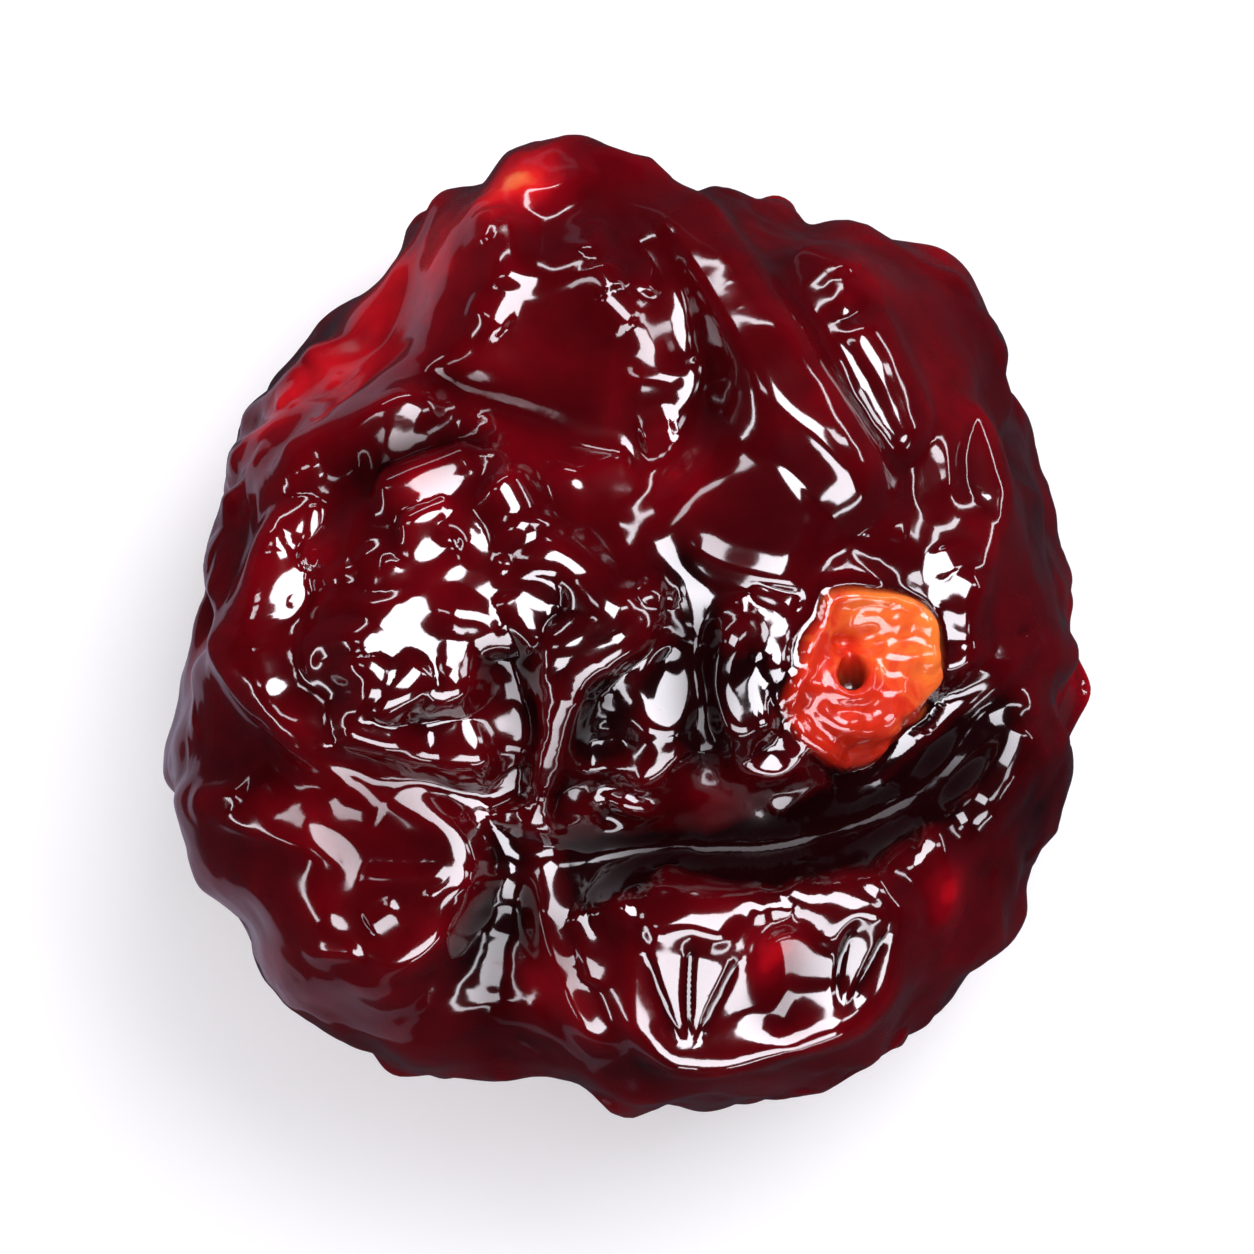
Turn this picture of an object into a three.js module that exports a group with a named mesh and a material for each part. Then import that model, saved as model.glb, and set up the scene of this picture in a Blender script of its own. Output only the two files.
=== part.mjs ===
// A whole dried cranberry lying on a table, as one closed solid.
// Millimetres, +Z up. The origin is on the table, under the middle of the berry's outline.
// A "plan place" is the X and Y of a place on the upper side, as seen from straight above.
import * as THREE from "three";
import { mergeVertices } from "three/addons/utils/BufferGeometryUtils.js";
import { ImprovedNoise } from "three/addons/math/ImprovedNoise.js";

// Size of the berry as it lies
const WIDTH = 14.7; // along X
const LENGTH = 15.5; // along Y
const HEIGHT = 11.2; // along Z, from the table
const FLAT_CUT = 0.55; // how much of the underside is pressed flat by its own weight

// The plump form that the skin is folded over: its outline from above, as a radius in mm
// at each bearing in degrees, and how far it reaches above and below that outline
const OUTLINE = [
  { bearing: 0, radius: 7.0 },
  { bearing: 30, radius: 6.95 },
  { bearing: 55, radius: 7.55 },
  { bearing: 80, radius: 6.5 },
  { bearing: 96, radius: 7.4 },
  { bearing: 109, radius: 7.4 },
  { bearing: 124, radius: 6.4 },
  { bearing: 142, radius: 6.75 },
  { bearing: 166, radius: 6.1 },
  { bearing: 180, radius: 6.3 },
  { bearing: 191, radius: 7.0 },
  { bearing: 206, radius: 7.5 },
  { bearing: 238, radius: 8.5 },
  { bearing: 270, radius: 8.1 },
  { bearing: 292, radius: 8.55 },
  { bearing: 308, radius: 8.15 },
  { bearing: 336, radius: 7.75 },
];
const RISE_ABOVE = 6.5;
const DROP_BELOW = 5.3;
const FULLNESS = 2.6; // how full its shoulders are; at 2 it is an ellipsoid, and more is boxier
const MESH_DETAIL = 22; // edges along each side of the icosahedron's faces, less one
const SAME_PLACE = 1e-5; // corners of the mesh that are closer than this are one
const RELAX_SHARE = 0.4; // how far the mesh is evened out at the end (0 to 1)

// The pucker where the skin is drawn in, and the squarish scar that the stalk left
const PUCKER = {
  place: [-1.75, -3.6],
  depth: 1.4,
  reach: 0.8,
  hollow: 0.9, // the wide dip round it
  hollowReach: 2.8,
};
const SCAR = {
  place: [3.85, -0.85],
  radius: 1.42,
  corners: 4,
  squareness: 0.1, // how far the rim stands out at its corners, as a share of its radius
  squareTurn: 15,
  rise: 0.42,
  edge: 0.26, // half the width of its sloping edge
  dish: 0.16, // how far the collar sinks towards the hole
  holeFloor: 0.1, // radius of the hole's floor, and of its mouth
  holeMouth: 0.5,
  holeDepth: 0.75,
  seat: 0.35, // the dent that the scar sits in
  seatReach: 2.2,
  meshGather: 0.42, // how much closer the mesh lies round the scar, and how far that reaches
  meshReach: 0.5,
};

// Broad swellings and hollows: rise is outward in mm, reach is how far they spread in mm
const UPPER_SWELLS = [
  { place: [-4.6, 4.4], rise: -0.45, reach: 2.4 }, // the flat flank on the upper left
  { place: [-0.4, 3.4], rise: -0.8, reach: 2.2 }, // the hollow above the middle
  { place: [-3.6, -0.6], rise: 0.45, reach: 2.3 }, // the left lobe
  { place: [0.6, -1.2], rise: 0.35, reach: 1.6 }, // the middle
  { place: [3.2, 3.9], rise: 0.45, reach: 2.6 }, // the upper right lobe
];
const FLANK_SWELLS = [
  { bearing: 298, elevation: 30, rise: 0.75, reach: 2.4 }, // the lower right lobe
  { bearing: 272, elevation: 34, rise: 0.3, reach: 1.8 },
  { bearing: 217, elevation: 22, rise: 0.5, reach: 2.4 }, // the lower left lobe
  { bearing: 97, elevation: 22, rise: 0.35, reach: 1.8 }, // the upper edge
  { bearing: 345, elevation: 20, rise: 0.25, reach: 2.0 },
  { bearing: 30, elevation: -30, rise: 0.35, reach: 2.6 }, // round the underside
  { bearing: 100, elevation: -32, rise: -0.4, reach: 2.4 },
  { bearing: 165, elevation: -30, rise: 0.3, reach: 2.6 },
  { bearing: 235, elevation: -28, rise: -0.35, reach: 2.2 },
  { bearing: 300, elevation: -30, rise: 0.35, reach: 2.6 },
];

// Crests stand up from the skin and clefts go in. Each runs smoothly through its plan places.
const CRESTS = [
  // the rim that loops round the left lobe, from the pucker and up to the hollow
  {
    path: [[-2.3, -3.4], [-3.6, -2.6], [-5.1, -1.7], [-5.8, -0.4], [-5.9, 1.2], [-5.3, 2.4]],
    rise: 0.78,
    width: 0.4,
  },
  { path: [[-5.3, 2.4], [-4.2, 2.8], [-2.6, 3.7]], rise: 0.54, width: 0.36 },
  // the outer rim on the left edge
  { path: [[-6.9, -1.2], [-6.3, 1.0], [-5.9, 2.7], [-4.6, 3.5]], rise: 0.42, width: 0.36 },
  // the long ridges on the upper right
  { path: [[-0.6, 7.0], [0.8, 6.2], [2.1, 4.6], [3.2, 2.9], [4.4, 1.3]], rise: 0.73, width: 0.46 },
  { path: [[2.8, 6.1], [3.7, 4.9], [4.1, 3.7], [5.1, 2.2]], rise: 0.54, width: 0.4 },
  { path: [[1.9, 4.0], [2.6, 2.4], [3.8, 1.1]], rise: 0.35, width: 0.4 },
  // folds round the stalk scar
  { path: [[5.6, 3.3], [5.9, 2.0], [5.6, 0.6], [5.5, -0.8]], rise: 0.42, width: 0.34 },
  { path: [[1.0, 1.5], [1.9, 1.0], [3.1, 0.6]], rise: 0.4, width: 0.34 },
  { path: [[2.3, 0.1], [1.7, -0.5], [1.75, -1.6], [2.3, -2.5]], rise: 0.5, width: 0.34 },
  { path: [[2.2, -3.0], [3.5, -2.4], [4.9, -1.7], [6.4, -0.5]], rise: 0.5, width: 0.34 },
  // folds that run out of the pucker over the middle
  { path: [[-1.5, -3.2], [-1.0, -1.9], [-0.3, -0.5], [0.8, 0.1]], rise: 0.71, width: 0.36 },
  { path: [[-1.3, -3.1], [-0.6, -2.9], [0.4, -3.1], [1.2, -2.0]], rise: 0.47, width: 0.34 },
  { path: [[-1.7, -2.8], [-2.3, -1.8], [-2.9, -0.6], [-4.0, -1.4]], rise: 0.5, width: 0.36 },
  { path: [[-1.3, -1.4], [-0.9, -0.4], [-0.2, 0.1], [-1.0, 0.9], [-1.9, 0.6]], rise: 0.5, width: 0.32 },
  // the dented facet at the top of the left lobe
  { path: [[-4.2, 2.05], [-2.2, 2.8], [-1.4, 1.3]], rise: 0.5, width: 0.34 },
  // the upper edge
  { path: [[-3.0, 6.2], [-2.1, 7.1], [-1.2, 6.9], [-0.3, 7.2]], rise: 0.42, width: 0.34 },
  { path: [[-2.1, 6.8], [-1.8, 5.2], [-1.9, 4.2]], rise: 0.38, width: 0.3 },
  { path: [[-0.3, 6.2], [-0.3, 5.2], [0.3, 4.6]], rise: 0.4, width: 0.34 },
  // the lower right lobe: its upper brink, its lower brink and what runs between them
  {
    path: [[-0.3, -5.9], [0.6, -4.9], [2.2, -4.8], [3.9, -4.5], [5.1, -3.4], [6.4, -1.5]],
    rise: 0.59,
    width: 0.4,
  },
  { path: [[-0.1, -6.1], [1.1, -7.0], [2.8, -6.6], [4.4, -5.9]], rise: 0.53, width: 0.36 },
  { path: [[1.1, -6.9], [1.7, -5.8], [1.5, -5.0]], rise: 0.33, width: 0.34 },
  { path: [[-1.35, -4.1], [-1.0, -5.2], [-0.3, -6.5]], rise: 0.54, width: 0.34 },
  // the lower left lobe
  { path: [[-6.9, -2.8], [-5.6, -3.3], [-4.2, -4.1]], rise: 0.42, width: 0.34 },
  { path: [[-2.2, -4.0], [-3.2, -4.5], [-4.1, -4.8], [-5.2, -5.0]], rise: 0.4, width: 0.32 },
  { path: [[-1.9, -4.2], [-3.0, -5.6], [-4.1, -6.7]], rise: 0.45, width: 0.34 },
];
const CLEFTS = [
  // from the pucker to the right, between the middle and the lower right lobe
  { path: [[-1.5, -3.7], [1.0, -3.95], [3.1, -3.6], [5.0, -2.5], [6.5, -1.0]], rise: -1.1, width: 0.85 },
  // from the pucker over the lower edge
  { path: [[-1.7, -3.9], [-1.9, -5.4], [-2.2, -7.2]], rise: -0.5, width: 0.5 },
  { path: [[-1.3, -4.0], [-0.5, -5.2], [-0.9, -7.0]], rise: -0.4, width: 0.45 },
  { path: [[2.5, -4.6], [2.7, -6.8]], rise: -0.45, width: 0.4 },
  // from the pucker to the left, under the rim of the left lobe
  { path: [[-2.1, -3.7], [-3.9, -3.0], [-5.4, -2.4], [-7.0, -2.2]], rise: -0.5, width: 0.45 },
  // over the dented facet
  { path: [[-5.0, 2.1], [-4.0, 2.5], [-1.9, 3.25]], rise: -0.6, width: 0.36 },
  // beside the ridges on the upper right
  { path: [[1.9, 6.4], [3.0, 4.5], [4.6, 2.2]], rise: -0.4, width: 0.5 },
  { path: [[-0.6, 0.9], [0.6, 2.2], [1.3, 3.9], [0.9, 5.2]], rise: -0.45, width: 0.5 },
  // left of the scar
  { path: [[1.35, 0.6], [1.35, -1.4], [1.7, -2.9]], rise: -0.45, width: 0.36 },
];

// Pleats that run down the flanks and under the berry, standing up and going in by turns
const PLEATS = {
  count: 18,
  seed: 13,
  stray: 0.3, // how far each lies from its even place, as a share of the space between them
  levels: [34, 12, -12, -38], // elevations in degrees along each
  sway: 6, // how far each wanders to either side, in degrees
  rise: [0.3, 0.5],
  width: 0.62,
};
const CREST_ROUND = 0.08; // how round a fold is along its top, in mm
const FOLD_STEPS = 24; // straight stretches along each fold
const FOLD_FADE = 0.18; // share of a fold's length over which each end dies away
const FOLD_END = 0.2; // what is left of its rise at the very end
const FOLD_CUTOFF = 4; // widths beyond which a fold no longer moves the skin

// Creases without a place of their own, strewn over the flanks and the underside.
// They run roughly away from the stalk scar.
const CREASES = {
  count: 60,
  seed: 41,
  highest: 0.35, // sine of the elevation above which there are none
  length: [2.5, 7.5], // shortest and longest, in mm; the short ones are the commoner
  stray: 0.5, // how far they turn from their way, in radians
  bow: 0.4, // how far the middle is pushed sideways at most, as a share of the length
  crestShare: 0.35, // how many of them stand up; the others go in
  rise: [0.13, 0.27],
  width: [0.42, 0.78],
};

// The shallow bowls that the shrunken skin sags into, with crests where they meet
const BOWLS = [
  { across: 3.4, seed: 7, depth: 0.36, warp: 1.4, warpScale: 0.3 },
  { across: 1.8, seed: 19, depth: 0.1, warp: 0.9, warpScale: 0.45 },
];
const BOWL_SPACING = 0.62; // least distance between two bowls' middles, as a share of their width
const BOWL_TRIES = 9000; // places tried for each network
const BOWL_LEVELS = 0.5; // how unevenly high they lie, as a share of their depth
const BOWL_ROUND = 0.12; // how round the crests between them are, in mm
const BOWL_STRETCH = 0.6; // their width as a share of their height, on the flanks
const BOWL_SHARE_ABOVE = 0.55; // their share of their depth among the folds of the upper side
const UPPER_SIDE = [0.1, 0.5]; // sines of the elevations where the upper side begins
const FULL_TURN = 360; // degrees

const noise = new ImprovedNoise();
const { degToRad, euclideanModulo, lerp, radToDeg, seededRandom, smoothstep } = THREE.MathUtils;

// Radius of the outline at a bearing in radians, eased from each entry of OUTLINE to the next
function outlineRadius(turn) {
  const bearing = euclideanModulo(radToDeg(turn), FULL_TURN);
  const after = OUTLINE.findIndex((entry) => entry.bearing > bearing);
  const next = after < 0 ? { ...OUTLINE[0], bearing: FULL_TURN } : OUTLINE[after];
  const last = after < 0 ? OUTLINE[OUTLINE.length - 1] : OUTLINE[after - 1];
  const share = (bearing - last.bearing) / (next.bearing - last.bearing);
  return lerp(last.radius, next.radius, smoothstep(share, 0, 1));
}

// Radii of the plump form along X, Y and Z at a point or direction
function formRadii({ x, y, z }) {
  const radius = outlineRadius(Math.atan2(y, x));
  return new THREE.Vector3(radius, radius, z > 0 ? RISE_ABOVE : DROP_BELOW);
}

// The place on the plump form that lies in a direction from its middle. Scaled to radii of 1,
// its distances out and up, each to the power of FULLNESS, add up to 1.
function onForm(direction) {
  const out = Math.hypot(direction.x, direction.y) ** FULLNESS;
  const reach = (out + Math.abs(direction.z) ** FULLNESS) ** (-1 / FULLNESS);
  return direction.clone().multiply(formRadii(direction)).multiplyScalar(reach);
}

// The direction from which onForm gives the place on the form by a point beside it
function towards(point) {
  return point.clone().divide(formRadii(point)).normalize();
}

function outwardAt(point) {
  const radii = formRadii(point);
  const scaled = point.clone().divide(radii);
  const flatten = Math.hypot(scaled.x, scaled.y) ** (FULLNESS - 2);
  const steepen = Math.abs(scaled.z) ** (FULLNESS - 2);
  return scaled.multiply(new THREE.Vector3(flatten, flatten, steepen)).divide(radii).normalize();
}

function onSide(bearing, elevation) {
  const turn = degToRad(bearing);
  const lift = degToRad(elevation);
  return new THREE.Vector3(Math.cos(lift) * Math.cos(turn), Math.cos(lift) * Math.sin(turn), Math.sin(lift));
}

function fromAbove([x, y]) {
  const radius = outlineRadius(Math.atan2(y, x));
  const out = (Math.hypot(x, y) / radius) ** FULLNESS;
  return new THREE.Vector3(x / radius, y / radius, Math.max(0, 1 - out) ** (1 / FULLNESS)).normalize();
}

function randomDirection() {
  return onSide(seededRandom() * FULL_TURN, radToDeg(Math.asin(2 * seededRandom() - 1)));
}

// The line of a fold over the plump form, as points in mm
function foldLine(directions) {
  const curve = new THREE.CatmullRomCurve3(directions.map(onForm), false, "centripetal");
  return curve.getPoints(FOLD_STEPS).map((point) => onForm(towards(point)));
}

function strewCreases() {
  seededRandom(CREASES.seed);
  const creases = [];
  while (creases.length < CREASES.count) {
    const from = randomDirection();
    const across = new THREE.Vector3().crossVectors(fromAbove(SCAR.place), from).normalize();
    across.applyAxisAngle(from, lerp(-CREASES.stray, CREASES.stray, seededRandom()));
    const turn = lerp(...CREASES.length, seededRandom() ** 2) / DROP_BELOW;
    const middle = from.clone().applyAxisAngle(across, turn / 2);
    middle.addScaledVector(across, turn * CREASES.bow * (seededRandom() - 0.5)).normalize();
    const to = from.clone().applyAxisAngle(across, turn);
    const way = seededRandom() < CREASES.crestShare ? 1 : -1;
    const rise = way * lerp(...CREASES.rise, seededRandom());
    const width = lerp(...CREASES.width, seededRandom());
    if (middle.z < CREASES.highest) creases.push({ line: foldLine([from, middle, to]), rise, width });
  }
  return creases;
}

function drawPleats() {
  seededRandom(PLEATS.seed);
  return Array.from({ length: PLEATS.count }, (_, i) => {
    const place = i + lerp(-PLEATS.stray, PLEATS.stray, seededRandom());
    const places = PLEATS.levels.map((level) => {
      const sway = lerp(-PLEATS.sway, PLEATS.sway, seededRandom());
      return onSide((place * FULL_TURN) / PLEATS.count + sway, level);
    });
    const way = i % 2 === 0 ? 1 : -1;
    return { line: foldLine(places), rise: way * lerp(...PLEATS.rise, seededRandom()), width: PLEATS.width };
  });
}

// Each fold's line is found once, with the box round it
const laidFolds = [...CRESTS, ...CLEFTS].map(({ path, rise, width }) => {
  return { line: foldLine(path.map(fromAbove)), rise, width };
});
const folds = [...laidFolds, ...drawPleats(), ...strewCreases()].map((fold) => {
  return { ...fold, bounds: new THREE.Box3().setFromPoints(fold.line) };
});

// How far a point is from a line, and how far along the line its nearest place lies (0 to 1)
const stretch = new THREE.Line3();
const nearest = new THREE.Vector3();
function nearLine(point, line) {
  let best = Infinity;
  let along = 0;
  for (let i = 0; i < line.length - 1; i++) {
    stretch.set(line[i], line[i + 1]);
    const share = stretch.closestPointToPointParameter(point, true);
    const gap = stretch.at(share, nearest).distanceTo(point);
    if (gap < best) {
      best = gap;
      along = (i + share) / (line.length - 1);
    }
  }
  return { gap: best, along };
}

// The highest crest and the deepest cleft at a point count, so folds that cross don't pile up
function foldHeight(point) {
  let highest = 0;
  let deepest = 0;
  for (const { line, bounds, rise, width } of folds) {
    if (bounds.distanceToPoint(point) > FOLD_CUTOFF * width) continue;
    const { gap, along } = nearLine(point, line);
    const fade = smoothstep(Math.min(along, 1 - along), 0, FOLD_FADE);
    const roundedGap = Math.hypot(gap, CREST_ROUND) - CREST_ROUND;
    const height = rise * lerp(FOLD_END, 1, fade) * Math.exp(-roundedGap / width);
    highest = Math.max(highest, height);
    deepest = Math.min(deepest, height);
  }
  return highest + deepest;
}

// Middles of bowls, strewn evenly over the form, each with the level that it lies at
function strewBowls({ across, seed, depth }) {
  seededRandom(seed);
  const bowls = [];
  for (let tries = 0; tries < BOWL_TRIES; tries++) {
    const at = onForm(randomDirection());
    at.z *= BOWL_STRETCH;
    const level = seededRandom() * depth * BOWL_LEVELS;
    const clear = bowls.every((other) => other.at.distanceTo(at) > BOWL_SPACING * across);
    if (clear) bowls.push({ at, level });
  }
  return bowls;
}

const networks = BOWLS.map((network) => ({ ...network, bowls: strewBowls(network) }));

// Noise carries a point sideways, by a different pattern along each axis, so that bowls are uneven
function warped(point, { warp, warpScale }) {
  const { x, y, z } = point.clone().multiplyScalar(warpScale);
  const shift = new THREE.Vector3(noise.noise(x, y, z), noise.noise(y, z, -x), noise.noise(z, -x, -y));
  return shift.multiplyScalar(warp).add(point);
}

function bowlHeight(point) {
  let height = 0;
  for (const network of networks) {
    const moved = warped(point, network);
    moved.z *= BOWL_STRETCH;
    const steepness = network.depth / (network.across / 2) ** 2;
    let lowest = Infinity;
    let second = Infinity;
    for (const { at, level } of network.bowls) {
      const here = level + steepness * at.distanceToSquared(moved);
      second = Math.min(second, Math.max(here, lowest));
      lowest = Math.min(lowest, here);
    }
    const overlap = Math.max(0, BOWL_ROUND - (second - lowest));
    height += lowest - overlap ** 2 / (4 * BOWL_ROUND) - network.depth / 2;
  }
  return height;
}

const swells = [
  ...UPPER_SWELLS.map((swell) => ({ ...swell, at: onForm(fromAbove(swell.place)) })),
  ...FLANK_SWELLS.map((swell) => ({ ...swell, at: onForm(onSide(swell.bearing, swell.elevation)) })),
];
function swellHeight(point) {
  let height = 0;
  for (const { at, rise, reach } of swells) {
    height += rise * Math.exp(-((at.distanceTo(point) / reach) ** 2));
  }
  return height;
}

const puckerAt = onForm(fromAbove(PUCKER.place));
function puckerHeight(point) {
  const gap = puckerAt.distanceTo(point);
  const hollow = PUCKER.hollow * Math.exp(-((gap / PUCKER.hollowReach) ** 2));
  return -PUCKER.depth * Math.exp(-gap / PUCKER.reach) - hollow;
}

// The scar is a squarish collar with a small hole where the stalk's core was.
// Gives its height, and how much of the skin's own relief it covers (0 to 1).
const scarDirection = fromAbove(SCAR.place);
const scarAt = onForm(scarDirection);
const scarAxis = outwardAt(scarAt);
const scarRight = new THREE.Vector3().crossVectors(new THREE.Vector3(0, 1, 0), scarAxis).normalize();
const scarUp = new THREE.Vector3().crossVectors(scarAxis, scarRight);
function scarRelief(point) {
  const offset = point.clone().sub(scarAt);
  const gap = offset.length();
  const turn = Math.atan2(offset.dot(scarUp), offset.dot(scarRight));
  const corner = Math.cos(SCAR.corners * (turn - degToRad(SCAR.squareTurn)));
  const rim = SCAR.radius * (1 + SCAR.squareness * corner);
  const cover = 1 - smoothstep(gap, rim - SCAR.edge, rim + SCAR.edge);
  const collar = SCAR.rise - SCAR.dish * (1 - Math.min(1, gap / rim));
  const hole = SCAR.holeDepth * (1 - smoothstep(gap, SCAR.holeFloor, SCAR.holeMouth));
  const seat = SCAR.seat * Math.exp(-((gap / SCAR.seatReach) ** 2));
  return { height: cover * (collar - hole) - seat, cover };
}

// Moves the mesh's directions towards the scar, so that its collar gets more of them
function gatherMesh(direction) {
  const angle = direction.angleTo(scarDirection);
  const pull = SCAR.meshGather * Math.exp(-((angle / SCAR.meshReach) ** 2));
  const axis = new THREE.Vector3().crossVectors(direction, scarDirection).normalize();
  direction.applyAxisAngle(axis, angle * pull);
}

// The skin's place in a direction from the middle of the plump form
function skinPlace(direction) {
  const point = onForm(direction);
  const scar = scarRelief(point);
  const above = smoothstep(direction.z, ...UPPER_SIDE);
  const relief = foldHeight(point) + bowlHeight(point) * lerp(1, BOWL_SHARE_ABOVE, above);
  const height = swellHeight(point) + puckerHeight(point) + scar.height + relief * (1 - scar.cover);
  return point.addScaledVector(outwardAt(point), height);
}

function berryGeometry() {
  const ball = new THREE.IcosahedronGeometry(1, MESH_DETAIL);
  ball.deleteAttribute("normal");
  ball.deleteAttribute("uv");
  const skin = mergeVertices(ball, SAME_PLACE);
  const corners = skin.getAttribute("position");
  const direction = new THREE.Vector3();
  for (let i = 0; i < corners.count; i++) {
    direction.fromBufferAttribute(corners, i).normalize();
    gatherMesh(direction);
    corners.setXYZ(i, ...skinPlace(direction));
  }
  relax(skin);
  return setDown(skin);
}

// Moves every corner part of the way to the middle of its neighbours
function relax(skin) {
  const corners = skin.getAttribute("position");
  const sums = Array.from({ length: corners.count }, () => new THREE.Vector4(0, 0, 0, 0));
  const corner = new THREE.Vector4();
  for (let i = 0; i < skin.index.count; i++) {
    const next = i % 3 === 2 ? i - 2 : i + 1;
    corner.fromBufferAttribute(corners, skin.index.getX(next));
    sums[skin.index.getX(i)].add(corner.setW(1));
  }
  const place = new THREE.Vector3();
  for (let i = 0; i < corners.count; i++) {
    const middle = new THREE.Vector3(sums[i].x, sums[i].y, sums[i].z).divideScalar(sums[i].w);
    corners.setXYZ(i, ...place.fromBufferAttribute(corners, i).lerp(middle, RELAX_SHARE));
  }
}

// Brings the berry to its size, presses its underside flat and stands it on the origin
function setDown(skin) {
  skin.computeBoundingBox();
  const { min, max } = skin.boundingBox;
  const size = new THREE.Vector3().subVectors(max, min);
  skin.translate(-(min.x + max.x) / 2, -(min.y + max.y) / 2, -min.z);
  skin.scale(WIDTH / size.x, LENGTH / size.y, (HEIGHT + FLAT_CUT) / size.z);
  const corners = skin.getAttribute("position");
  for (let i = 0; i < corners.count; i++) {
    corners.setZ(i, Math.max(0, corners.getZ(i) - FLAT_CUT));
  }
  skin.computeVertexNormals();
  return skin;
}

function driedCranberry() {
  const skin = new THREE.MeshStandardMaterial({ color: 0x5a0a10, roughness: 0.28, metalness: 0 });
  const berry = new THREE.Mesh(berryGeometry(), skin);
  berry.name = "dried_cranberry";
  return berry;
}

const model = new THREE.Group();
model.add(driedCranberry());
export default model;
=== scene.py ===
import math

import bpy
import numpy as np
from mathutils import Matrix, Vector
from mathutils.bvhtree import BVHTree


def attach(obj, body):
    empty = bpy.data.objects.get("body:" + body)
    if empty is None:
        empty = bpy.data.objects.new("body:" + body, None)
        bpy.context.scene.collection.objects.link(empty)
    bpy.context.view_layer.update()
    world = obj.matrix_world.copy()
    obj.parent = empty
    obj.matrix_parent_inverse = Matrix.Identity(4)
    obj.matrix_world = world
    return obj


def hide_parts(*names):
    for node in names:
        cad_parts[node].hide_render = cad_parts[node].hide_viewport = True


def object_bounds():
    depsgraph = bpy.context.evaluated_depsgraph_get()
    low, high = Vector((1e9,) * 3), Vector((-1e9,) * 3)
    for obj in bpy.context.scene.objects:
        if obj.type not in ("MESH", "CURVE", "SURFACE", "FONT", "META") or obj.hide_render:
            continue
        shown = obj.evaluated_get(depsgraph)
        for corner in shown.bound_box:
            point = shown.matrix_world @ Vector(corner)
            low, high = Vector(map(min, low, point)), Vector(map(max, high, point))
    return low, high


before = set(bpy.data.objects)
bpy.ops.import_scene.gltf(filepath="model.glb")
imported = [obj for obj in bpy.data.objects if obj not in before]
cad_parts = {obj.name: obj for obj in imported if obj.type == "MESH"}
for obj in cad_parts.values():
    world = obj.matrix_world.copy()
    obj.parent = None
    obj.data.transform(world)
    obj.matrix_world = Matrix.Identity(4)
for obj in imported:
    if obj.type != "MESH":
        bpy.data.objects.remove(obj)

# A whole dried cranberry: glossy, deep red, folded skin with a pucker and an orange stalk scar.
# Values that end in Mm are in millimetres, and so is all that describes the berry's skin: paths,
# places, reaches, widths, rises, lifts, tops and depths. Other lengths are in metres.

mm = 0.001
tiny = 1e-9  # so that nothing is divided by zero
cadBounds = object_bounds()
print("frame loaded")


# Camera, table and lights

studio = {
    "pictureWidthMm": 19.8,  # how much of the table the square picture takes in
    "cameraHeight": 0.4,
    "aimHeight": 0.0055,  # the widest part of the berry
    "sensorWidth": 36,
    "nearest": 0.01,
    "tableWidth": 1.6,
    "tableColor": (0.86, 0.85, 0.85, 1),
    "tableRoughness": 0.6,
    "worldColor": (0.93, 0.95, 1.0, 1),
    "lightColor": (0.95, 0.93, 1.0),
    "worldStrength": 0.4,
    "lightsAway": 0.30,  # from the berry, unless a light says otherwise
    "tableGlow": 0.28,  # a pale table that is lit from within too
    "tableMirrored": (0.035, 0.03, 0.04, 1),  # darker in the gloss, so that it doesn't veil the red
    "stripBoost": 8,  # but a strip beside the berry's left edge is this much brighter in the gloss
    "stripMiddle": -0.0095,
    "stripHalfWidth": 0.0025,
}

# bearing is in degrees from +X towards +Y, elevation above the table. The mirrored lights only
# show in the gloss, and the soft ones only light the colours, so each can be as strong as it needs.
softboxes = [
    {"name": "overheadMirror", "bearing": 60, "elevation": 77, "sides": (0.25, 0.20), "radiance": 34},
    {"name": "frontMirror", "bearing": 270, "elevation": 36, "sides": (0.32, 0.13), "radiance": 26},
    {"name": "rightMirror", "bearing": 15, "elevation": 40, "sides": (0.05, 0.10), "radiance": 22},
    {"name": "leftMirror", "bearing": 165, "elevation": 42, "sides": (0.04, 0.08), "radiance": 16},
    {"name": "lowStripA", "bearing": 20, "elevation": 14, "sides": (0.24, 0.025), "radiance": 20},
    {"name": "lowStripB", "bearing": 110, "elevation": 14, "sides": (0.24, 0.025), "radiance": 20},
    {"name": "lowStripC", "bearing": 200, "elevation": 10, "sides": (0.24, 0.025), "radiance": 20},
    {"name": "lowStripD", "bearing": 290, "elevation": 10, "sides": (0.24, 0.025), "radiance": 20},
    {"name": "softKey", "soft": True, "bearing": 50, "elevation": 55, "away": 0.35, "sides": (0.25, 0.25),
     "radiance": 5.5},
    {"name": "softTop", "soft": True, "bearing": 200, "elevation": 75, "away": 0.35, "sides": (0.40, 0.40),
     "radiance": 1.2},
]


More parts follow.
